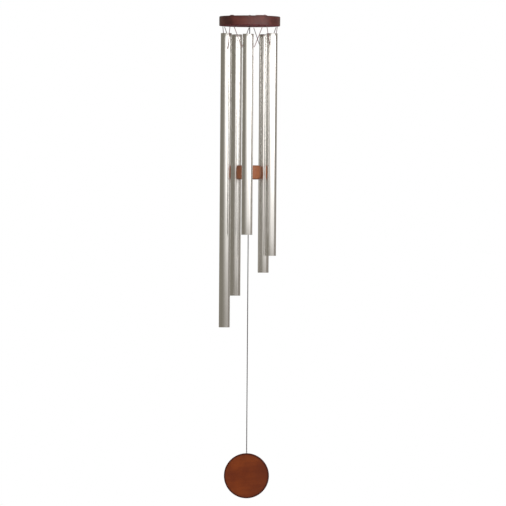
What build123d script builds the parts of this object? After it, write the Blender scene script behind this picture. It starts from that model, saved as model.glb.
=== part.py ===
from build123d import *

import os
from math import atan2, cos, degrees, hypot, pi, radians, sin, sqrt, tan

# Wind chime: five tubes on strings under a wooden disc, a clapper on a cord down the middle,
# and a round wind sail at the cord's end. Millimetres, +Z up. The origin is the centre of the
# disc's top face and the front is towards -Y.
#
# A string or cord bends freely where it leaves a hole or a knot. It is cut there, flex_gap
# wide, beside the round end or the round knot whose centre is the pivot.

# ---------------------------------------------------------------- driving dimensions
# Tubes, longest first, going round clockwise as seen from above
tube_lengths = (587.5, 524.0, 478.0, 444.0, 400.0)
tube_drops = (15.0, 15.5, 15.0, 15.0, 17.5)  # from the disc's underside down to a tube's top
tube_hole_drops = (31.0, 24.5, 23.0, 22.5, 26.0)  # from a tube's top down to its cross hole
tube_od = 22.0
tube_wall = 1.5
tube_deburr = 0.3
ring_r = 48.0  # from the middle out to the tubes' axes
first_tube_deg = 198.0

# Top disc
disc_t = 19.0
disc_rim = 4.92  # from the string holes out to the disc's edge
disc_edge_r = 1.5
hanger_hole_d = 3.0
hanger_pcd = 70.0
hanger_count = 3
hanger_first_deg = 90.0

# Lacing, which is the tubes' string
string_d = 1.5
lacing_pitch = 9.5  # between the two holes of neighbouring tubes
string_hole_clearance = 0.35
string_hole_ease = 0.8  # countersink at the top edge of each string hole
tube_hole_clearance = 0.25
lacing_bend_r = 1.8
lacing_knot_d = 3.4
knotted_bridge = 4  # the bridge on which the lacing's two ends are tied
tail_runs = (9.0, 9.5)  # lengths of the two runs of the knot's tail
tail_headings_deg = (165.0, 205.0)  # which way each of them runs over the disc

# Cord down the middle
cord_d = 2.0
cord_hole_clearance = 0.25
stopper_d = 5.0
neck_knot_d = 3.4
carrier_knot_d = 4.6
sail_knot_d = 3.2

# Clapper
clapper_d = 50.0
clapper_t = 28.0
clapper_bulge = 1.6  # how far the side swells past the rims of the two flat faces
clapper_edge_r = 3.0
clapper_drop = 292.5  # from the disc's underside down to the clapper's middle

# Wind sail
sail_d = 90.0
sail_t = 8.0
sail_edge_r = 1.6
sail_drop = 606.5  # from the clapper's middle down to the sail's middle
sail_hole_depth = 12.0
tail_proud = 0.8  # how far the cord's end stands out of the sail

# Clearances
flex_gap = 0.3  # between the two solids on each side of a bend
lie_gap = 0.1  # under a cord or knot that lies on the disc

# ---------------------------------------------------------------- worked-out places
tube_count = len(tube_lengths)
step_deg = 360 / tube_count
half_step = radians(step_deg / 2)
string_spread = (ring_r * sin(half_step) - lacing_pitch / 2) / cos(half_step)
string_hole_circle_r = hypot(ring_r, string_spread)
string_hole_offset_deg = degrees(atan2(string_spread, ring_r))
disc_r = string_hole_circle_r + disc_rim

underside_z = -disc_t
string_pivot_z = underside_z - flex_gap - string_d / 2
tube_top_zs = [underside_z - drop for drop in tube_drops]
cross_hole_zs = [top_z - drop for top_z, drop in zip(tube_top_zs, tube_hole_drops)]
lacing_top_z = string_d / 2 + lie_gap


def seat_drop(ball_d):
    """Depth of a knot's centre below a face whose 90 degree seat is flex_gap clear of it."""
    return (sqrt(2) - 1) * (ball_d / 2 + flex_gap)


def seat_r(ball_d):
    """Radius of the mouth of the seat that a round knot sits in."""
    return ball_d / 2 + flex_gap


neck_z = underside_z - seat_drop(neck_knot_d)
clapper_z = underside_z - clapper_drop
clapper_bottom_z = clapper_z - clapper_t / 2
carrier_z = clapper_bottom_z - seat_drop(carrier_knot_d)
sail_z = clapper_z - sail_drop
sail_top_z = sail_z + sail_d / 2
sail_knot_z = sail_top_z + tail_proud + flex_gap + sail_knot_d / 2
cord_hole_r = cord_d / 2 + cord_hole_clearance


def tube_deg(number):
    """Direction of tube 1, 2, ... from the middle, in degrees."""
    return first_tube_deg - step_deg * (number - 1)


def around(radius, deg, z):
    """The point at this radius, direction and height."""
    return Vector(radius * cos(radians(deg)), radius * sin(radians(deg)), z)


def upright_plane(radius, deg):
    """A vertical plane across the given direction: X runs along the ring, Y up, Z outwards."""
    outwards = around(1, deg, 0)
    along = around(1, deg + 90, 0)
    return Plane(origin=around(radius, deg, 0), x_dir=along, z_dir=outwards)


def report_cord(name, cord, route, diameter, bends, round_ends):
    """Print a cord's length, its bend radii and its volume over section times length."""
    section = pi * diameter**2 / 4
    ends = pi * diameter**3 / 6 if round_ends else 0
    ratio = (cord.volume - ends) / (section * route.length)
    radii = ", ".join(f"{bend:.2f}" for bend in bends) or "none"
    print(f"{name}: length {route.length:.2f}, bend radii {radii}, volume ratio {ratio:.4f}")


# ---------------------------------------------------------------- top disc
with BuildPart() as top_disc:
    with BuildSketch(Plane.XY.offset(underside_z)):
        Circle(disc_r)
    extrude(amount=disc_t)
    fillet(top_disc.edges(), disc_edge_r)
    string_hole_r = string_d / 2 + string_hole_clearance
    for side in (-1, 1):
        first_hole_deg = first_tube_deg + side * string_hole_offset_deg
        with PolarLocations(string_hole_circle_r, tube_count, start_angle=first_hole_deg):
            CounterSinkHole(string_hole_r, string_hole_r + string_hole_ease, counter_sink_angle=90)
    with PolarLocations(hanger_pcd / 2, hanger_count, start_angle=hanger_first_deg):
        Hole(hanger_hole_d / 2)
    with Locations(Plane(origin=(0, 0, underside_z), z_dir=(0, 0, -1))):
        CounterSinkHole(cord_hole_r, seat_r(neck_knot_d), counter_sink_angle=90)

top_disc.part.label = "top_disc"

# ---------------------------------------------------------------- tubes
tubes = []
for number, length in enumerate(tube_lengths, start=1):
    bottom = around(ring_r, tube_deg(number), tube_top_zs[number - 1] - length)
    cross_hole = around(ring_r, tube_deg(number), cross_hole_zs[number - 1])
    along_ring = around(1, tube_deg(number) + 90, 0)
    with BuildPart() as tube:
        with BuildSketch(Plane(bottom)):
            Circle(tube_od / 2)
            Circle(tube_od / 2 - tube_wall, mode=Mode.SUBTRACT)
        extrude(amount=length)
        chamfer(tube.edges().filter_by(GeomType.CIRCLE), tube_deburr)
        with BuildSketch(Plane(origin=cross_hole, z_dir=along_ring)):
            Circle(string_d / 2 + tube_hole_clearance)
        extrude(amount=tube_od, both=True, mode=Mode.SUBTRACT)
    tube.part.label = f"tube_{number}"
    tubes.append(tube.part)

# ---------------------------------------------------------------- tubes' strings
# Each string runs down from one hole, in through the tube's cross hole and back up to the
# other hole. It bends beside the tube, a cord's width out from the wall.
strings = []
for number, hole_z in enumerate(cross_hole_zs, start=1):
    corner_x = tube_od / 2 + string_d
    turn = atan2(string_pivot_z - hole_z, string_spread - corner_x)
    bend_r = (corner_x - tube_od / 2 - flex_gap) / tan(turn / 2)
    bends = [bend_r, bend_r]
    with BuildPart() as string:
        with BuildLine(upright_plane(ring_r, tube_deg(number))) as route:
            FilletPolyline(
                (-string_spread, string_pivot_z),
                (-corner_x, hole_z),
                (corner_x, hole_z),
                (string_spread, string_pivot_z),
                radius=bends,
            )
        with BuildSketch(Plane(origin=route.wire() @ 0, z_dir=route.wire() % 0)):
            Circle(string_d / 2)
        sweep()
        with Locations(route.wire() @ 0, route.wire() @ 1):
            Sphere(string_d / 2)
    string.part.label = f"tube_string_{number}"
    strings.append(string.part)
    report_cord(string.part.label, string.part, route.wire(), string_d, bends, round_ends=True)

# ---------------------------------------------------------------- lacing over the disc
# Each bridge comes up one hole, crosses to the neighbouring tube's hole and goes down it.
bridges = []
bridge_bends = [lacing_bend_r, lacing_bend_r]
for number in range(1, tube_count + 1):
    bridge_deg = tube_deg(number) - step_deg / 2
    bridge_r = string_hole_circle_r * cos(half_step - radians(string_hole_offset_deg))
    with BuildPart() as bridge:
        with BuildLine(upright_plane(bridge_r, bridge_deg)) as route:
            FilletPolyline(
                (-lacing_pitch / 2, underside_z),
                (-lacing_pitch / 2, lacing_top_z),
                (lacing_pitch / 2, lacing_top_z),
                (lacing_pitch / 2, underside_z),
                radius=bridge_bends,
            )
        with BuildSketch(Plane(origin=route.wire() @ 0, z_dir=route.wire() % 0)):
            Circle(string_d / 2)
        sweep()
    bridge.part.label = f"lacing_bridge_{number}"
    bridges.append(bridge.part)
    report_cord(bridge.part.label, bridge.part, route.wire(), string_d, bridge_bends, False)

# The lacing's knot lies on one bridge, cut flat where it rests on the disc
knot_deg = tube_deg(knotted_bridge) - step_deg / 2
knot_place = around(bridge_r, knot_deg, lacing_top_z)
with BuildPart() as lacing_knot:
    with Locations(knot_place):
        Sphere(lacing_knot_d / 2)
    split(bisect_by=Plane.XY.offset(lie_gap), keep=Keep.TOP)

lacing_knot.part.label = "lacing_knot"

# The knot's tail leaves the knot inwards and lies along the disc
tail_start = around(bridge_r - lacing_knot_d / 2 + flex_gap, knot_deg, lacing_top_z)
tail_corner = tail_start + around(tail_runs[0], tail_headings_deg[0], 0)
tail_end = tail_corner + around(tail_runs[1], tail_headings_deg[1], 0)
tail_turn = radians(tail_headings_deg[1] - tail_headings_deg[0])
tail_bend_r = 0.45 * min(tail_runs) / tan(tail_turn / 2)
with BuildPart() as lacing_tail:
    with BuildLine() as route:
        FilletPolyline(tail_start, tail_corner, tail_end, radius=[tail_bend_r])
    with BuildSketch(Plane(origin=route.wire() @ 0, z_dir=route.wire() % 0)):
        Circle(string_d / 2)
    sweep()

lacing_tail.part.label = "lacing_tail"
report_cord("lacing_tail", lacing_tail.part, route.wire(), string_d, [tail_bend_r], False)


# ---------------------------------------------------------------- cord down the middle
def make_plumb_cord(name, low_z, high_z):
    """A straight stretch of the middle cord between two heights."""
    with BuildPart() as cord:
        with BuildLine() as route:
            Line((0, 0, low_z), (0, 0, high_z))
        with BuildSketch(Plane.XY.offset(low_z)):
            Circle(cord_d / 2)
        sweep()
    cord.part.label = name
    report_cord(name, cord.part, route.wire(), cord_d, [], False)
    return cord.part


def make_round_knot(name, diameter, z):
    """A round knot on the middle cord."""
    with BuildPart() as knot:
        with Locations((0, 0, z)):
            Sphere(diameter / 2)
    knot.part.label = name
    return knot.part


def knot_edge(diameter):
    """From a round knot's centre to the cut end of the cord beside it."""
    return diameter / 2 + flex_gap


with BuildPart() as clapper_cord_stopper:
    with Locations((0, 0, stopper_d / 4)):
        Sphere(stopper_d / 2)
    split(bisect_by=Plane.XY.offset(lie_gap), keep=Keep.TOP)

clapper_cord_stopper.part.label = "clapper_cord_stopper"

clapper_cord_top = make_plumb_cord("clapper_cord_top", neck_z + knot_edge(neck_knot_d), lie_gap)
clapper_cord_neck = make_round_knot("clapper_cord_neck", neck_knot_d, neck_z)
clapper_cord = make_plumb_cord(
    "clapper_cord", carrier_z + knot_edge(carrier_knot_d), neck_z - knot_edge(neck_knot_d)
)
clapper_knot = make_round_knot("clapper_knot", carrier_knot_d, carrier_z)
sail_cord = make_plumb_cord(
    "sail_cord", sail_knot_z + knot_edge(sail_knot_d), carrier_z - knot_edge(carrier_knot_d)
)
sail_knot = make_round_knot("sail_knot", sail_knot_d, sail_knot_z)
sail_cord_tail = make_plumb_cord(
    "sail_cord_tail", sail_top_z - sail_hole_depth + lie_gap, sail_knot_z - knot_edge(sail_knot_d)
)

# ---------------------------------------------------------------- clapper
with BuildPart() as clapper:
    with BuildSketch(Plane(origin=(0, 0, clapper_z), x_dir=(1, 0, 0), z_dir=(0, -1, 0))):
        with BuildLine():
            rim_r = clapper_d / 2 - clapper_bulge
            upper_rim = (rim_r, clapper_t / 2)
            lower_rim = (rim_r, -clapper_t / 2)
            Polyline(upper_rim, (0, clapper_t / 2), (0, -clapper_t / 2), lower_rim)
            ThreePointArc(lower_rim, (clapper_d / 2, 0), upper_rim)
        make_face()
    revolve(axis=Axis.Z)
    fillet(clapper.edges().filter_by(GeomType.CIRCLE), clapper_edge_r)
    with Locations(Plane(origin=(0, 0, clapper_bottom_z), z_dir=(0, 0, -1))):
        CounterSinkHole(cord_hole_r, seat_r(carrier_knot_d), counter_sink_angle=90)

clapper.part.label = "clapper"

# ---------------------------------------------------------------- wind sail
with BuildPart() as wind_sail:
    with BuildSketch(Plane.XZ.offset(-sail_t / 2)):
        with Locations((0, sail_z)):
            Circle(sail_d / 2)
    extrude(amount=sail_t)
    fillet(wind_sail.edges(), sail_edge_r)
    with BuildSketch(Plane.XY.offset(sail_top_z - sail_hole_depth)):
        Circle(cord_hole_r)
    extrude(amount=sail_d / 2, mode=Mode.SUBTRACT)

wind_sail.part.label = "wind_sail"

# ---------------------------------------------------------------- files
pieces = [top_disc.part, *tubes, *strings, *bridges, lacing_knot.part, lacing_tail.part]
pieces += [clapper_cord_stopper.part, clapper_cord_top, clapper_cord_neck, clapper_cord]
pieces += [clapper.part, clapper_knot, sail_cord, sail_knot, sail_cord_tail, wind_sail.part]
os.makedirs("parts", exist_ok=True)
for piece in pieces:
    export_step(piece, f"parts/{piece.label}.step")
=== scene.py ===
"""Wind chime: five drawn tubes laced under a turned disc, a clapper and a round wind sail.

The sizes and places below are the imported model's. The tubes, strings, cords and knots are
surfaces worked out here, each riding on its own body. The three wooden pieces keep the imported
shapes.
"""

from math import cos, pi, radians, sin

import bpy
import numpy as np
from mathutils import Matrix


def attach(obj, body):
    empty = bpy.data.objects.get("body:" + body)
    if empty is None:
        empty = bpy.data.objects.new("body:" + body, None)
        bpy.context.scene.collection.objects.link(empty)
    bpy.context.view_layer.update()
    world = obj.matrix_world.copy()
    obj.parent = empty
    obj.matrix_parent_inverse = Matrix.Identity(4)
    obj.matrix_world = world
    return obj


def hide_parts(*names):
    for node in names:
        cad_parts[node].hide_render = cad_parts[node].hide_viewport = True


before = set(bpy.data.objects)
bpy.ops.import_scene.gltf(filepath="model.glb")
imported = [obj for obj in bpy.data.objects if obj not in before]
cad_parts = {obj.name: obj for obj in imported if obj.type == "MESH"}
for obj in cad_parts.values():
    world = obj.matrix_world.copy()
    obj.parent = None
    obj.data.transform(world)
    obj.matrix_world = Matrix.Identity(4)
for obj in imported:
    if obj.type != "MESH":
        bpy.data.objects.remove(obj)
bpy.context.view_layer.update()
MM = 0.001

# ---------------------------------------------------------------- the chime's sizes, in millimetres
TUBE_COUNT = 5
RING_R = 48.0  # from the middle to each tube's axis
TUBE_R, TUBE_WALL, RIM_R = 11.0, 1.5, 0.3
CROSS_HOLE_R = 1.0
STRING_D, CORD_D = 1.5, 2.0
UNDERSIDE_Z = -19.0  # the disc's lower face. Its upper face is at 0
PIVOT_Z = -20.05  # where a tube's string leaves the disc and swings
STRING_SPREAD = 29.0  # from a tube's middle to each of its string's two holes
LACING_PITCH = 9.5  # between neighbouring tubes' holes, under a bridge
LACING_TOP_Z = 0.85  # the middle of the string that lies on the disc
BRIDGE_R = 55.88  # from the middle to each bridge


def tube_direction(number):
    """Direction of tube 1, 2, ... from the middle, in degrees."""
    return 198.0 - 72.0 * (number - 1)


# ---------------------------------------------------------------- making pieces
def add_object(name, data):
    """An object in the scene that holds a mesh, curve, lamp or camera."""
    made = bpy.data.objects.new(name, data)
    bpy.context.scene.collection.objects.link(made)
    return made


def add_surface(name, points, faces, material):
    """A smooth mesh object from points in metres and faces."""
    mesh = bpy.data.meshes.new(name)
    mesh.from_pydata(points.tolist(), [], [list(face) for face in faces])
    mesh.validate()
    mesh.shade_smooth()
    mesh.materials.append(material)
    return add_object(name, mesh)


def add_piece(name, points, faces, body, material, node):
    """A piece from points in millimetres, riding on a body and standing for a node."""
    piece = add_surface(name, points * MM, faces, material)
    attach(piece, body)
    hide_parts(node)
    return piece


def grid_faces(rows, columns, close_rows, close_columns):
    """Quads of a rows by columns grid of points, wrapped round where a direction is closed."""
    row = np.arange(rows if close_rows else rows - 1)[:, None]
    column = np.arange(columns if close_columns else columns - 1)[None, :]
    next_row, next_column = (row + 1) % rows, (column + 1) % columns
    corners = (
        row * columns + column,
        row * columns + next_column,
        next_row * columns + next_column,
        next_row * columns + column,
    )
    return np.stack(corners, axis=-1)


def distance_along(line):
    """The distance from a line's first point to each of its points."""
    return np.concatenate([[0.0], np.cumsum(np.linalg.norm(np.diff(line, axis=0), axis=1))])


def read_route(points, step):
    """Points every step millimetres along the smooth line that a cord's route gives.

    The route's points are the control points of an open quadratic NURBS spline.
    """
    curve = bpy.data.curves.new("route", "CURVE")
    curve.dimensions = "3D"
    curve.resolution_u = 40
    spline = curve.splines.new("NURBS")
    spline.points.add(len(points) - 1)
    for control, place in zip(spline.points, points):
        control.co = (*[value * MM for value in place], 1.0)
    spline.order_u = 3
    spline.use_endpoint_u = True
    holder = add_object("route", curve)
    bpy.context.view_layer.update()
    mesh = bpy.data.meshes.new_from_object(holder)
    line = np.array([vertex.co for vertex in mesh.vertices]) / MM
    bpy.data.meshes.remove(mesh)
    bpy.data.objects.remove(holder)
    bpy.data.curves.remove(curve)
    along = distance_along(line)
    stations = np.linspace(0.0, along[-1], max(3, round(along[-1] / step)))
    return np.stack([np.interp(stations, along, line[:, axis]) for axis in range(3)], axis=1)


def unit(vectors):
    """Vectors scaled to length one."""
    return vectors / np.linalg.norm(vectors, axis=-1, keepdims=True)


def round_tube(line, radius, guide, sides, closed=False):
    """Points and faces of a tube round a line.

    Each ring is line + radius * (cos a * outwards + sin a * sideways), where outwards is the
    guide with its part along the line taken away, and sideways is the line crossed with it.
    """
    if closed:
        heading = unit(np.roll(line, -1, axis=0) - np.roll(line, 1, axis=0))
    else:
        heading = unit(np.gradient(line, axis=0))
    outwards = unit(guide - np.sum(guide * heading, axis=1, keepdims=True) * heading)
    sideways = np.cross(heading, outwards)
    angle = np.linspace(0.0, 2 * pi, sides, endpoint=False)[None, :, None]
    ring = np.cos(angle) * outwards[:, None] + np.sin(angle) * sideways[:, None]
    points = (line[:, None] + radius * ring).reshape(-1, 3)
    faces = grid_faces(len(line), sides, closed, True).reshape(-1, 4).tolist()
    if not closed:
        last = (len(line) - 1) * sides
        faces.append(list(range(sides))[::-1])
        faces.append(list(range(last, last + sides)))
    return points, faces


def join_surfaces(surfaces):
    """One list of points and one of faces from several surfaces."""
    points, faces, first = [], [], 0
    for some_points, some_faces in surfaces:
        points.append(some_points)
        faces += [[index + first for index in face] for face in some_faces]
        first += len(some_points)
    return np.concatenate(points), faces


def twisted_cord(line, across, diameter, strands=3, sides=7):
    """A laid cord: strands wound round a line that lies in one plane.

    Strand k runs at line + h * (cos(w s + k turn) * side + sin(w s + k turn) * across), where s
    is the length along the line, w is one turn per lay length, and h keeps the strands touching.
    """
    lay_length = 3.1 * diameter
    strand_r = 0.265 * diameter
    helix_r = diameter / 2 - strand_r
    along = distance_along(line)
    across = np.broadcast_to(across, line.shape)
    side = unit(np.cross(unit(np.gradient(line, axis=0)), across))
    surfaces = []
    for strand in range(strands):
        turn = (2 * pi * (along / lay_length + strand / strands))[:, None]
        offset = np.cos(turn) * side + np.sin(turn) * across
        surfaces.append(round_tube(line + helix_r * offset, strand_r, offset, sides))
    return join_surfaces(surfaces)


def ball_surface(radius, rows=13, columns=18):
    """Points and faces of a ball: rings from pole to pole, each pole closed by a small flat."""
    tilt = np.linspace(0.02, pi - 0.02, rows)[:, None]
    spin = np.linspace(0, 2 * pi, columns, endpoint=False)
    ball = np.stack(
        [np.sin(tilt) * np.cos(spin), np.sin(tilt) * np.sin(spin), np.cos(tilt) + 0 * spin], axis=-1
    )
    faces = grid_faces(rows, columns, False, True).reshape(-1, 4)[:, ::-1].tolist()
    last = (rows - 1) * columns
    faces += [list(range(columns)), list(range(last, last + columns))[::-1]]
    return (radius * ball).reshape(-1, 3), faces


def wound_knot(centre, radius, strand_r, flat_z=None, leads=3, bights=4):
    """A pulled-tight round knot: one closed strand that weaves over a ball.

    The strand goes round as longitude = leads * t and latitude = 62 degrees * sin(bights * t),
    and rises and dips by a third of its radius where it crosses itself. A ball fills the middle.
    A knot that lies on the disc is pressed flat at flat_z.
    """
    t = np.linspace(0.0, 2 * pi, 240, endpoint=False)
    longitude, latitude = leads * t, radians(62) * np.sin(bights * t)
    reach = radius - strand_r * (1.3 - 0.3 * np.cos(2 * bights * t + 0.6))
    outwards = np.stack(
        [np.cos(latitude) * np.cos(longitude), np.cos(latitude) * np.sin(longitude), np.sin(latitude)],
        axis=1,
    )
    strand = round_tube(reach[:, None] * outwards, strand_r, outwards, 8, closed=True)
    points, faces = join_surfaces([strand, ball_surface(radius - 1.35 * strand_r)])
    points = points + np.array(centre)
    if flat_z is not None:
        points[:, 2] = np.maximum(points[:, 2], flat_z)
    return points, faces


# ---------------------------------------------------------------- material nodes
def feed(tree, socket, value):
    """Links another socket into an input, or sets the input to a plain value."""
    if isinstance(value, bpy.types.NodeSocket):
        tree.links.new(value, socket)
    else:
        socket.default_value = value


def put(tree, kind, inputs=None, **settings):
    """A node with its settings, its inputs set to values or linked to other sockets."""
    node = tree.nodes.new(kind)
    for key, value in settings.items():
        setattr(node, key, value)
    for key, value in (inputs or {}).items():
        feed(tree, node.inputs[key], value)
    return node


def calc(tree, operation, first, second=0.0):
    """The value of a Math node."""
    return put(tree, "ShaderNodeMath", {0: first, 1: second}, operation=operation).outputs[0]


def spread(tree, value, low, high, to_low=0.0, to_high=1.0, smooth=True):
    """A value mapped from low..high to to_low..to_high."""
    node = put(
        tree,
        "ShaderNodeMapRange",
        {"Value": value, "From Min": low, "From Max": high, "To Min": to_low, "To Max": to_high},
        interpolation_type="SMOOTHSTEP" if smooth else "LINEAR",
    )
    return node.outputs["Result"]


def mix(tree, factor, first, second):
    """Two colours mixed by a factor."""
    # a Mix node's colours are its inputs 6 and 7, and its mixed colour is output 2
    node = put(tree, "ShaderNodeMix", {0: factor}, data_type="RGBA")
    feed(tree, node.inputs[6], first)
    feed(tree, node.inputs[7], second)
    return node.outputs[2]


def noise(tree, place, scale, detail, roughness=0.5):
    """The outputs of a noise texture."""
    inputs = {"Vector": place, "Scale": scale, "Detail": detail, "Roughness": roughness}
    return put(tree, "ShaderNodeTexNoise", inputs).outputs


def mapped(tree, place, **inputs):
    """A place moved, turned or scaled by a Mapping node."""
    return put(tree, "ShaderNodeMapping", {"Vector": place, **inputs}).outputs[0]


def vector_math(tree, operation, *inputs):
    """The outputs of a Vector Math node."""
    return put(tree, "ShaderNodeVectorMath", dict(enumerate(inputs)), operation=operation).outputs


def axes_of(tree, place):
    """The X, Y and Z outputs of a place."""
    return put(tree, "ShaderNodeSeparateXYZ", {0: place}).outputs


def add_bump(tree, shader, height, distance, strength):
    """Relief on a shader's surface."""
    bump = put(tree, "ShaderNodeBump", {"Height": height, "Distance": distance, "Strength": strength})
    tree.links.new(bump.outputs[0], shader.inputs["Normal"])


def srgb(red, green, blue):
    """A colour given as 0..255 values on a screen, as the linear colour that nodes take."""
    channel = np.array([red, green, blue]) / 255.0
    linear = np.where(channel <= 0.04045, channel / 12.92, ((channel + 0.055) / 1.055) ** 2.4)
    return (*linear.tolist(), 1.0)


def new_group(name, scale_input, scale, outputs):
    """An empty shader node group: a vector and a scale go in, and named values come out."""
    group = bpy.data.node_groups.new(name, "ShaderNodeTree")
    group.interface.new_socket("Vector", in_out="INPUT", socket_type="NodeSocketVector")
    scale_socket = group.interface.new_socket(scale_input, in_out="INPUT", socket_type="NodeSocketFloat")
    scale_socket.default_value = scale
    for socket in outputs:
        group.interface.new_socket(socket, in_out="OUTPUT", socket_type="NodeSocketFloat")
    place, scale_value = group.nodes.new("NodeGroupInput").outputs[:2]
    return group, place, scale_value, group.nodes.new("NodeGroupOutput")


def wood_grain_group():
    """Long grain: stretched streaks, fine pores and slow cloudy colour, along the group's X."""
    outputs = ("Streaks", "Pores", "Cloud", "Height")
    group, place, streak_scale, out = new_group("wood_grain", "Streak Scale", 90.0, outputs)
    wander = noise(group, place, 22.0, 2.0)["Color"]
    nudge = vector_math(group, "MULTIPLY", wander, (0.010, 0.004, 0.004))[0]
    bent = vector_math(group, "ADD", place, nudge)[0]
    long_way = mapped(group, bent, Scale=(0.09, 1.0, 1.0))
    streaks = noise(group, long_way, streak_scale, 5.0, 0.6)["Fac"]
    pore_way = mapped(group, bent, Scale=(0.12, 1.0, 1.0))
    pores = noise(group, pore_way, 1300.0, 2.0, 0.7)["Fac"]
    cloud = noise(group, place, 38.0, 3.0, 0.55)["Fac"]
    streak_mask = spread(group, streaks, 0.32, 0.68)
    pore_mask = spread(group, pores, 0.60, 0.72)
    group.links.new(streak_mask, out.inputs["Streaks"])
    group.links.new(pore_mask, out.inputs["Pores"])
    group.links.new(spread(group, cloud, 0.3, 0.7), out.inputs["Cloud"])
    height = calc(group, "SUBTRACT", calc(group, "MULTIPLY", streak_mask, 0.35), pore_mask)
    group.links.new(height, out.inputs["Height"])
    return group


def handling_marks_group():
    """Faint finger smudges and thin random scratches on a smooth finish."""
    outputs = ("Smudges", "Scratches")
    group, place, scratch_scale, out = new_group("handling_marks", "Scratch Scale", 900.0, outputs)
    smudge = noise(group, place, 45.0, 4.0, 0.62)["Fac"]
    group.links.new(spread(group, smudge, 0.45, 0.75), out.inputs["Smudges"])
    thin = []
    for turn in (0.5, -0.9):
        line_way = mapped(group, place, Rotation=(turn, turn, turn), Scale=(1.0, 1.0, 0.035))
        lines = noise(group, line_way, scratch_scale, 1.0)["Fac"]
        thin.append(spread(group, lines, 0.70, 0.78))
    group.links.new(calc(group, "MAXIMUM", *thin), out.inputs["Scratches"])
    return group


WOOD_GRAIN = wood_grain_group()
HANDLING_MARKS = handling_marks_group()


def use_group(tree, group, inputs):
    """The outputs of a shader node group placed in a material."""
    return put(tree, "ShaderNodeGroup", inputs, node_tree=group).outputs


def new_material(name):
    """A material's node tree, its Principled shader and its Object coordinates."""
    material = bpy.data.materials.new(name)
    material.use_nodes = True
    tree = material.node_tree
    shader = tree.nodes["Principled BSDF"]
    place = tree.nodes.new("ShaderNodeTexCoord").outputs["Object"]
    return material, tree, shader, place


# ---------------------------------------------------------------- wood
def wood(
    name,
    *,
    light,
    middle,
    dark,
    edge,
    edge_mask,
    centre,
    turn,
    coat,
    roughness,
    specular,
    cloud=0.5,
    fade=None,
    underside=None,
):
    """Stained and lacquered wood with its grain turned to run the way the piece was cut.

    edge_mask says where the edge colour lies. fade is a tint, the X where it starts and ends, and
    its amount. underside is a height and the colour of the wood below it, which has no lacquer.
    """
    material, tree, shader, place = new_material(name)
    grain_way = mapped(tree, place, Location=centre, Rotation=turn)
    grain = use_group(tree, WOOD_GRAIN, {"Vector": grain_way})
    marks = use_group(tree, HANDLING_MARKS, {"Vector": place, "Scratch Scale": 900.0})
    colour = mix(tree, grain["Streaks"], middle, light)
    colour = mix(tree, calc(tree, "MULTIPLY", grain["Cloud"], cloud), colour, dark)
    if fade:
        tint, from_x, to_x, amount = fade
        faded = spread(tree, axes_of(tree, place)["X"], from_x, to_x, 0.0, amount)
        colour = mix(tree, faded, colour, tint)
    colour = mix(tree, calc(tree, "MULTIPLY", grain["Pores"], 0.55), colour, dark)
    # on the disc this edge colour is painted shade along its two rims
    colour = mix(tree, edge_mask(tree, place), colour, edge)
    rough = spread(tree, grain["Pores"], 0.0, 1.0, roughness, roughness + 0.22)
    rough = calc(tree, "ADD", rough, calc(tree, "MULTIPLY", marks["Smudges"], 0.08))
    coated = spread(tree, marks["Scratches"], 0.0, 1.0, coat, 0.3 * coat)
    if underside:
        below_z, bare_colour = underside
        bare = spread(tree, axes_of(tree, place)["Z"], below_z - 0.0006, below_z + 0.0006, 1.0, 0.0)
        rough = calc(tree, "MAXIMUM", rough, bare)
        coated = calc(tree, "MULTIPLY", coated, calc(tree, "SUBTRACT", 1.0, bare))
        colour = mix(tree, bare, colour, bare_colour)
    tree.links.new(colour, shader.inputs["Base Color"])
    tree.links.new(rough, shader.inputs["Roughness"])
    tree.links.new(coated, shader.inputs["Coat Weight"])
    shader.inputs["Coat Roughness"].default_value = 0.28
    shader.inputs["Specular IOR Level"].default_value = specular
    add_bump(tree, shader, grain["Height"], 0.00012, 0.5)
    return material


def upright_distance(tree, place, middle_z):
    """How far above or below a height a place is."""
    return calc(tree, "ABSOLUTE", calc(tree, "SUBTRACT", axes_of(tree, place)["Z"], middle_z))


def disc_rim_shade_mask(tree, place):
    """The disc's two rims, painted darker as shade, as if turned away from the light."""
    return spread(tree, upright_distance(tree, place, -0.0095), 0.0076, 0.0088, 0.0, 0.75)


def clapper_rim_mask(tree, place):
    """The clapper's upper and lower rims."""
    return spread(tree, upright_distance(tree, place, -0.3115), 0.0108, 0.0135, 0.0, 0.55)


def sail_rim_mask(tree, place):
    """A ring round the sail's two faces, coloured darker at the rounded edge."""
    across_face = vector_math(tree, "MULTIPLY_ADD", place, (1.0, 0.0, 1.0), (0.0, 0.0, 0.918))[0]
    out = vector_math(tree, "LENGTH", across_face)["Value"]
    return spread(tree, out, 0.0408, 0.0430, 0.0, 0.9)


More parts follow.
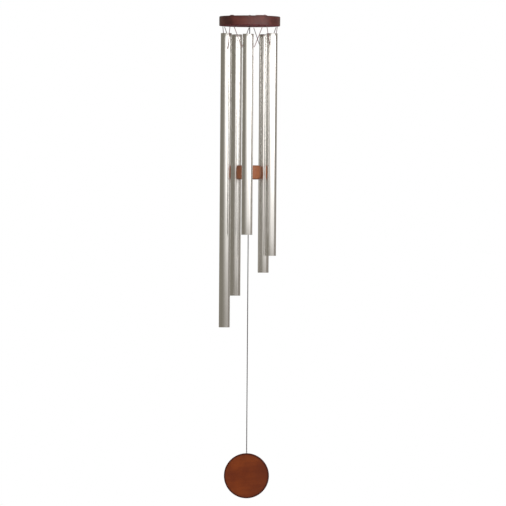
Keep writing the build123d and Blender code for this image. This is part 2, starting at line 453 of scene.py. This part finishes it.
disc_wood = wood(
    "dark_stained_wood",
    light=srgb(98, 46, 39),
    middle=srgb(74, 32, 29),
    dark=srgb(46, 20, 20),
    # painted shade: this near-black edge colour darkens the disc's rims as if they lay in shade
    edge=srgb(46, 12, 16),
    edge_mask=disc_rim_shade_mask,
    centre=(0.0, 0.0, 0.0),
    turn=(0.0, 0.0, 0.25),
    coat=0.3,
    roughness=0.42,
    specular=0.3,
    underside=(-0.0182, srgb(104, 36, 42)),
)
clapper_wood = wood(
    "oiled_clapper_wood",
    light=srgb(188, 122, 80),
    middle=srgb(162, 96, 60),
    dark=srgb(104, 52, 38),
    edge=srgb(100, 46, 14),
    edge_mask=clapper_rim_mask,
    centre=(0.02, 0.0, 0.01),
    turn=(0.0, -1.15, 0.0),
    coat=0.1,
    roughness=0.45,
    specular=0.35,
    cloud=0.45,
)
sail_wood = wood(
    "sail_wood",
    light=srgb(132, 58, 12),
    middle=srgb(117, 47, 8),
    dark=srgb(94, 33, 8),
    edge=srgb(70, 22, 8),
    edge_mask=sail_rim_mask,
    centre=(0.0, 0.0, 0.0),
    turn=(0.0, 0.06, 0.0),
    coat=0.05,
    roughness=0.5,
    specular=0.25,
    fade=(srgb(96, 37, 14), -0.012, 0.05, 0.65),
)

for node, material in (("top_disc", disc_wood), ("clapper", clapper_wood), ("wind_sail", sail_wood)):
    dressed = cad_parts[node]
    dressed.data.materials.clear()
    dressed.data.materials.append(material)


# ---------------------------------------------------------------- metal and yarn
def drawn_aluminium():
    """Satin aluminium tube: fine lines along its length from drawing, smudges and light scratches."""
    material, tree, shader, place = new_material("drawn_aluminium")
    along = mapped(tree, place, Scale=(1.0, 1.0, 0.012))
    fine = noise(tree, along, 2600.0, 3.0)["Fac"]
    broad = noise(tree, along, 420.0, 2.0)["Fac"]
    lines = calc(tree, "ADD", fine, calc(tree, "MULTIPLY", broad, 0.6))
    marks = use_group(tree, HANDLING_MARKS, {"Vector": place, "Scratch Scale": 1300.0})
    colour = mix(tree, spread(tree, broad, 0.35, 0.65), (0.81, 0.80, 0.785, 1), (0.88, 0.87, 0.86, 1))
    colour = mix(tree, calc(tree, "MULTIPLY", marks["Smudges"], 0.07), colour, (0.62, 0.60, 0.57, 1))
    tree.links.new(colour, shader.inputs["Base Color"])
    shader.inputs["Metallic"].default_value = 1.0
    rough = spread(tree, lines, 0.5, 1.1, 0.18, 0.25)
    rough = calc(tree, "ADD", rough, calc(tree, "MULTIPLY", marks["Smudges"], 0.04))
    rough = calc(tree, "ADD", rough, calc(tree, "MULTIPLY", marks["Scratches"], 0.05))
    tree.links.new(rough, shader.inputs["Roughness"])
    add_bump(tree, shader, lines, 0.00001, 0.12)
    return material


def spun_cord(name, light, dark):
    """Soft spun cord: fibres of two tones and a rough, slightly fuzzy surface."""
    material, tree, shader, place = new_material(name)
    fibre = noise(tree, place, 3800.0, 4.0, 0.7)["Fac"]
    worn = noise(tree, place, 120.0, 2.0)["Fac"]
    tone = calc(tree, "ADD", calc(tree, "MULTIPLY", fibre, 0.6), calc(tree, "MULTIPLY", worn, 0.4))
    tree.links.new(mix(tree, spread(tree, tone, 0.38, 0.62), dark, light), shader.inputs["Base Color"])
    tree.links.new(spread(tree, fibre, 0.3, 0.7, 0.72, 0.9), shader.inputs["Roughness"])
    shader.inputs["Sheen Weight"].default_value = 0.15
    add_bump(tree, shader, fibre, 0.00008, 0.6)
    return material


aluminium = drawn_aluminium()
lacing_yarn = spun_cord("lacing_yarn", srgb(156, 118, 116), srgb(104, 70, 70))
middle_yarn = spun_cord("middle_cord_yarn", srgb(82, 72, 67), srgb(44, 36, 34))
stained_yarn = spun_cord("stained_yarn", srgb(84, 56, 60), srgb(48, 28, 32))

# ---------------------------------------------------------------- tubes
HOLE_SQUARE, HOLE_STEPS = 2.6, 8  # half the side of the square round a cross hole, and its quads


def tube_profile(top_z, bottom_z, hole_z):
    """A tube wall's closed outline, and the rows where its two walls reach the hole's square.

    It runs up the outside, over the rim, down the inside and round the lower rim.
    """
    outer, inner = TUBE_R, TUBE_R - TUBE_WALL
    arc = np.linspace(0.0, pi / 2, 4)
    near_hole = hole_z + np.linspace(-HOLE_SQUARE, HOLE_SQUARE, HOLE_STEPS + 1)
    below = np.linspace(bottom_z + RIM_R, near_hole[0], 13)[:-1]
    above = np.linspace(near_hole[-1], top_z - RIM_R, 4)[1:]
    wall_z = np.concatenate([below, near_hole, above])
    over_r = np.concatenate([outer - RIM_R * (1 - np.cos(arc[1:])), inner + RIM_R * (1 - np.sin(arc[:-1]))])
    over_z = np.concatenate([top_z - RIM_R * (1 - np.sin(arc[1:])), top_z - RIM_R * (1 - np.cos(arc[:-1]))])
    under_z = (bottom_z + top_z - over_z)[::-1]
    radii = np.concatenate([0 * wall_z + outer, over_r, 0 * wall_z + inner, over_r[::-1]])
    heights = np.concatenate([wall_z, over_z, wall_z[::-1], under_z])
    first_outer = len(below)
    first_inner = len(wall_z) + len(over_r) + len(above)
    return radii, heights, first_outer, first_inner


def joined_loops(one, other):
    """Quads between two closed loops of the same number of points."""
    return [list(quad) for quad in zip(one, one[1:] + one[:1], other[1:] + other[:1], other)]


def on_cylinder(radius, angle, z):
    """Points at a radius, an angle and a height."""
    return np.stack([radius * np.cos(angle), radius * np.sin(angle), z + 0 * angle], axis=-1)


def tube_surface(number, top_z, hole_z, length):
    """A drawn tube with rounded rims and a drilled cross hole.

    The wall is a closed profile turned round the tube's axis. Where the hole goes through, a
    square of the grid is left out on both walls and filled by rings that blend from the square to
    the hole's circle, and a short tunnel joins the two circles.
    """
    radii, heights, first_outer, first_inner = tube_profile(top_z, top_z - length, hole_z)
    half_patch = HOLE_SQUARE / TUBE_R
    patch = np.linspace(-half_patch, half_patch, HOLE_STEPS + 1)
    plain = np.linspace(half_patch, pi - half_patch, 23)[1:-1]
    half_turn = np.concatenate([patch, plain])
    angles = np.concatenate([half_turn, half_turn + pi]) + radians(tube_direction(number) + 90)
    rows, columns = len(radii), len(angles)
    points = [on_cylinder(radii[:, None], angles[None, :], heights[:, None]).reshape(-1, 3)]
    kept = np.ones((rows, columns), bool)
    go, back = np.arange(HOLE_STEPS), np.arange(HOLE_STEPS, 0, -1)
    square_row = np.concatenate([0 * go, go, 0 * go + HOLE_STEPS, back])
    square_column = np.concatenate([go, 0 * go + HOLE_STEPS, back, 0 * go])
    hole_faces, count = [], rows * columns
    for first_column in (0, len(half_turn)):
        circles = []
        edge_column = first_column + square_column
        middle = angles[first_column + HOLE_STEPS // 2]
        for first_row, radius in ((first_outer, TUBE_R), (first_inner, TUBE_R - TUBE_WALL)):
            kept[first_row : first_row + HOLE_STEPS, first_column : first_column + HOLE_STEPS] = False
            edge_row = first_row + square_row
            loop = (edge_row * columns + edge_column).tolist()
            over, up = (angles[edge_column] - middle) * radius, heights[edge_row] - hole_z
            reach = np.hypot(over, up)
            for share in (0.45, 0.8, 1.0):
                size = (1 - share) * reach + share * CROSS_HOLE_R
                sideways, high = over / reach * size, up / reach * size
                points.append(on_cylinder(radius, middle + np.arcsin(sideways / radius), hole_z + high))
                ring = list(range(count, count + len(loop)))
                count += len(ring)
                hole_faces += joined_loops(loop, ring)
                loop = ring
            circles.append(loop)
        # the inner wall's rows run downwards, so its circle is matched to the outer one by height
        outer_circle, inner_circle = circles
        size = len(outer_circle)
        matched = [inner_circle[(HOLE_STEPS * 3 - one) % size] for one in range(size)]
        hole_faces += joined_loops(outer_circle, matched)
    points = np.concatenate(points)
    direction = radians(tube_direction(number))
    points[:, :2] += RING_R * np.array([cos(direction), sin(direction)])
    return points, grid_faces(rows, columns, True, True)[kept].tolist() + hole_faces


tube_sizes = (  # top, cross hole and length of each tube
    (-34.0, -65.0, 587.5),
    (-34.5, -59.0, 524.0),
    (-34.0, -57.0, 478.0),
    (-34.0, -56.5, 444.0),
    (-36.5, -62.5, 400.0),
)
for number, (top_z, hole_z, length) in enumerate(tube_sizes, start=1):
    points, faces = tube_surface(number, top_z, hole_z, length)
    node = f"tube_{number}"
    add_piece(f"drawn_tube_{number}", points, faces, node, aluminium, node)


# ---------------------------------------------------------------- strings and cords
def on_ring(radius, degrees, half_route):
    """A route on the upright plane at a radius and direction, and the way that plane faces.

    half_route gives its first half as (along the ring, height). The second half mirrors it.
    """
    turn = radians(degrees)
    outwards, along = np.array([cos(turn), sin(turn), 0.0]), np.array([-sin(turn), cos(turn), 0.0])
    whole = half_route + tuple((-x, z) for x, z in half_route[::-1])
    places = [radius * outwards + x * along + np.array([0.0, 0.0, z]) for x, z in whole]
    return [place.tolist() for place in places], outwards


def lay_cord(name, route, across, diameter, body, material, node, step):
    """A laid cord along a route."""
    line = read_route(route, step)
    points, faces = twisted_cord(line, across, diameter)
    piece = add_piece(name, points, faces, body, material, node)


def lay_lacing(name, route, across, body, node):
    """A stretch of the string that laces the tubes under the disc."""
    lay_cord(name, route, across, STRING_D, body, lacing_yarn, node, 0.4)


# Each tube's string: down from one hole of the disc, through the tube and up to the other hole
string_routes = (
    ((-STRING_SPREAD, PIVOT_Z), (-15.6, -56.5), (-12.5, -65.0), (-9.5, -65.0)),
    ((-STRING_SPREAD, PIVOT_Z), (-16.0, -50.7), (-12.5, -59.0), (-9.5, -59.0)),
    ((-STRING_SPREAD, PIVOT_Z), (-16.2, -48.8), (-12.5, -57.0), (-9.5, -57.0)),
    ((-STRING_SPREAD, PIVOT_Z), (-16.2, -48.3), (-12.5, -56.5), (-9.5, -56.5)),
    ((-STRING_SPREAD, PIVOT_Z), (-15.8, -54.1), (-12.5, -62.5), (-9.5, -62.5)),
)
for number, half_route in enumerate(string_routes, start=1):
    route, outwards = on_ring(RING_R, tube_direction(number), half_route)
    lay_lacing(f"tube_lacing_{number}", route, outwards, f"string_{number}", f"tube_string_{number}")

# Each bridge: up one hole, over the disc's top to the neighbouring tube's hole and down it
bridge_route = (
    (-LACING_PITCH / 2, UNDERSIDE_Z),
    (-LACING_PITCH / 2, -2.2),
    (-LACING_PITCH / 2, LACING_TOP_Z),
    (-2.0, LACING_TOP_Z),
)
for number in range(1, TUBE_COUNT + 1):
    route, outwards = on_ring(BRIDGE_R, tube_direction(number) - 36, bridge_route)
    lay_lacing(f"lacing_over_disc_{number}", route, outwards, "root", f"lacing_bridge_{number}")

# The knot that ties the lacing's two ends on the disc's top, and the end left over
points, faces = wound_knot((32.846, -45.208, LACING_TOP_Z), 1.75, 0.62, flat_z=0.1)
add_piece("lacing_tie", points, faces, "root", lacing_yarn, "lacing_knot")
tail_route = ((32.02, -44.07, LACING_TOP_Z), (23.33, -41.74, LACING_TOP_Z), (14.72, -45.76, LACING_TOP_Z))
lay_lacing("lacing_tie_tail", tail_route, (0.0, 0.0, 1.0), "root", "lacing_tail")

# Middle cord: from the stopper knot down through the disc, clapper and sail
plumb_cords = (  # piece, node, body, heights of its upper and lower end, whether declared
    ("cord_in_disc", "clapper_cord_top", "root", 0.1, -17.83, False),
    ("cord_to_clapper", "clapper_cord", "clapper", -21.83, -323.98, True),
    ("cord_to_sail", "sail_cord", "sail_cord", -329.18, -868.40, True),
    ("cord_in_sail", "sail_cord_tail", "wind_sail", -872.20, -884.90, False),
)
for name, node, body, high_z, low_z, declared in plumb_cords:
    route = [(0.0, 0.0, z) for z in np.linspace(high_z, low_z, 4)]
    lay_cord(name, route, (0.0, 1.0, 0.0), CORD_D, body, middle_yarn, node, 0.6)

middle_knots = (  # piece, node, body, yarn, height of its middle, radius, flat underside
    ("stopper_knot", "clapper_cord_stopper", "root", middle_yarn, 1.25, 2.5, 0.1),
    ("neck_knot", "clapper_cord_neck", "clapper_neck", middle_yarn, -19.828, 1.7, None),
    ("carrier_knot", "clapper_knot", "clapper_knot", middle_yarn, -326.577, 2.3, None),
    ("sail_tie", "sail_knot", "sail_knot", stained_yarn, -870.30, 1.6, None),
)
for name, node, body, yarn, z, radius, flat_z in middle_knots:
    points, faces = wound_knot((0.0, 0.0, z), radius, 0.36 * radius, flat_z=flat_z)
    add_piece(name, points, faces, body, yarn, node)


# ---------------------------------------------------------------- floor
def bare_material(name):
    """A material with no shader yet, its node tree and its Object coordinates."""
    material = bpy.data.materials.new(name)
    material.use_nodes = True
    tree = material.node_tree
    tree.nodes.clear()
    return material, tree, tree.nodes.new("ShaderNodeTexCoord").outputs["Object"]


def seen_rays(tree):
    """1 for the rays that look at a thing, 0 for those that only gather its light."""
    rays = tree.nodes.new("ShaderNodeLightPath").outputs
    seen = calc(tree, "MAXIMUM", rays["Is Camera Ray"], rays["Is Glossy Ray"])
    return calc(tree, "MAXIMUM", seen, rays["Is Transmission Ray"])


def finish_material(tree, shader):
    """Joins a shader to its material's output."""
    surface = tree.nodes.new("ShaderNodeOutputMaterial")
    tree.links.new(shader.outputs[0], surface.inputs["Surface"])


def floor_paint():
    """Pale floor that keeps the chime's shadow near the middle and runs out to plain white."""
    material, tree, place = bare_material("pale_floor")
    flat = vector_math(tree, "MULTIPLY", place, (1.0, 1.0, 0.0))[0]
    out = vector_math(tree, "LENGTH", flat)["Value"]
    fade = spread(tree, out, 0.5, 2.4, 0.75, 1.0)
    paper = put(tree, "ShaderNodeBsdfDiffuse", {"Color": (0.55, 0.55, 0.55, 1)})
    white = put(tree, "ShaderNodeEmission", {"Color": (1, 1, 1, 1), "Strength": 1.0})
    factor = calc(tree, "MULTIPLY", seen_rays(tree), fade)
    blend = put(tree, "ShaderNodeMixShader", {0: factor, 1: paper.outputs[0], 2: white.outputs[0]})
    finish_material(tree, blend)
    return material


FLOOR_Z = -1.22
STUDIO_SIDES = 64
turns = np.linspace(0.0, 2 * pi, STUDIO_SIDES, endpoint=False)[None, :]
radii = np.array([0.0001, 0.5, 1.0, 2.0, 4.0, 8.0])[:, None]
floor_points = np.stack([radii * np.cos(turns), radii * np.sin(turns), FLOOR_Z + 0 * radii * turns], axis=-1)
floor_faces = grid_faces(len(radii), STUDIO_SIDES, False, True).reshape(-1, 4)[:, ::-1].tolist()
add_surface("pale_floor", floor_points.reshape(-1, 3), floor_faces, floor_paint())


# ---------------------------------------------------------------- light tent
def tent_cloth():
    """Cloth that glows by direction and height. Direction 0 is the front and 0.25 the right."""
    material, tree, place = bare_material("tent_cloth")
    axes = axes_of(tree, place)
    back = calc(tree, "MULTIPLY", axes["Y"], -1.0)
    direction = calc(tree, "MULTIPLY", calc(tree, "ARCTAN2", axes["X"], back), 0.5 / pi)
    height = spread(tree, axes["Z"], -0.66, -0.06, smooth=False)
    above = spread(tree, axes["Z"], -0.035, 0.02)
    # the panel brightens from its left side to its right edge, and ends there
    slope = spread(tree, direction, -0.13, 0.07)
    slope = calc(tree, "MULTIPLY", slope, spread(tree, direction, -0.05, 0.2, 0.72, 1.0, smooth=False))
    right_edge = calc(tree, "SUBTRACT", 0.212, calc(tree, "MULTIPLY", above, 0.05))
    past_edge = calc(tree, "SUBTRACT", direction, right_edge)
    panel = calc(tree, "MULTIPLY", slope, spread(tree, past_edge, -0.018, 0.018, 1.0, 0.0))
    # it is brightest high up, and dimmer again above the disc
    rise = calc(tree, "MULTIPLY", calc(tree, "POWER", height, 2.0), 3.6)
    strength = calc(tree, "MULTIPLY", panel, calc(tree, "ADD", rise, 0.18))
    strength = calc(tree, "MULTIPLY", strength, spread(tree, above, 0.0, 1.0, 1.0, 0.25))
    # a second, weaker panel straight behind, for the chime's back
    behind = spread(tree, calc(tree, "ABSOLUTE", direction), 0.41, 0.46, 0.0, 0.55)
    strength = calc(tree, "ADD", strength, behind)
    warmer = spread(tree, direction, -0.2, 0.25)
    cloth = mix(tree, warmer, (0.232, 0.215, 0.178, 1), (0.29, 0.265, 0.235, 1))
    light = put(tree, "ShaderNodeVectorMath", {0: (1.0, 0.99, 0.975), "Scale": strength}, operation="SCALE")
    colour = vector_math(tree, "ADD", cloth, light.outputs[0])[0]
    finish_material(tree, put(tree, "ShaderNodeEmission", {"Color": colour, "Strength": 1.0}))
    return material


# A drum round the chime that only gloss sees: a pale panel in front and to the right, brightest
# high up, a weaker one straight behind, and warm grey cloth between them.
TENT_R, TENT_LOW, TENT_HIGH, TENT_ROWS = 0.3, -1.12, 0.12, 10
heights = np.linspace(TENT_LOW, TENT_HIGH, TENT_ROWS)[:, None]
tent_points = np.stack(
    [TENT_R * np.cos(turns) + 0 * heights, TENT_R * np.sin(turns) + 0 * heights, heights + 0 * turns], axis=-1
)
tent_faces = grid_faces(TENT_ROWS, STUDIO_SIDES, False, True).reshape(-1, 4).tolist()
top_ring = (TENT_ROWS - 1) * STUDIO_SIDES
tent_faces += [list(range(STUDIO_SIDES)), list(range(top_ring, top_ring + STUDIO_SIDES))]
tent = add_surface("light_tent", tent_points.reshape(-1, 3), tent_faces, tent_cloth())
tent.visible_camera = tent.visible_diffuse = tent.visible_shadow = False
tent.visible_transmission = tent.visible_volume_scatter = False


# ---------------------------------------------------------------- lamps and sky
def stand(holder, right, up, back, place):
    """Places a lamp or the camera by its three axes and its position."""
    rows = [[*axes, shift] for axes, shift in zip(np.stack([right, up, back], 1), place)]
    holder.matrix_world = Matrix([*rows, (0.0, 0.0, 0.0, 1.0)])


def add_lamp(name, place, aim, width, height, power):
    """A soft rectangular lamp pointed at a place. Gloss sees the tent instead."""
    lamp = bpy.data.lights.new(name, "AREA")
    lamp.shape, lamp.size, lamp.size_y, lamp.energy = "RECTANGLE", width, height, power
    holder = add_object(name, lamp)
    back = unit(np.array(place) - np.array(aim))
    right = unit(np.cross((0.0, 0.0, 1.0), back))
    stand(holder, right, np.cross(back, right), back, place)
    holder.visible_glossy = False


add_lamp("key_lamp", (1.7, -1.9, 0.9), (0.0, 0.0, -0.45), 1.2, 1.6, 46.0)
add_lamp("fill_lamp", (-1.8, -2.2, 0.0), (0.0, 0.0, -0.5), 1.4, 1.6, 12.0)

world = bpy.data.worlds.new("studio")
world.use_nodes = True
bpy.context.scene.world = world
sky = world.node_tree
sky.nodes.clear()
sky_strength = spread(sky, seen_rays(sky), 0.0, 1.0, 0.62, 1.0, smooth=False)
backdrop = put(sky, "ShaderNodeBackground", {"Color": (1, 1, 1, 1), "Strength": sky_strength})
sky_out = sky.nodes.new("ShaderNodeOutputWorld")
sky.links.new(backdrop.outputs[0], sky_out.inputs["Surface"])

# ---------------------------------------------------------------- camera
CAMERA_DISTANCE, FRAME_WIDTH, SENSOR_WIDTH = 11.2, 1.0116, 36.0
CAMERA_ASIDE, CAMERA_Z = 0.0099, -0.4726
azimuth, roll = radians(3.4), radians(0.42)
camera_data = bpy.data.cameras.new("camera")
camera_data.sensor_width = SENSOR_WIDTH
camera_data.lens = SENSOR_WIDTH * CAMERA_DISTANCE / FRAME_WIDTH
camera_data.clip_start, camera_data.clip_end = 0.1, 200.0
camera = add_object("camera", camera_data)
level = np.array([cos(azimuth), sin(azimuth), 0.0])
upright = np.array([0.0, 0.0, 1.0])
away = np.array([sin(azimuth), -cos(azimuth), 0.0])
right = cos(roll) * level + sin(roll) * upright
up = -sin(roll) * level + cos(roll) * upright
spot = CAMERA_DISTANCE * away + CAMERA_ASIDE * level + CAMERA_Z * upright
stand(camera, right, up, away, spot)
bpy.context.scene.camera = camera
bpy.context.scene.view_settings.view_transform = "Standard"
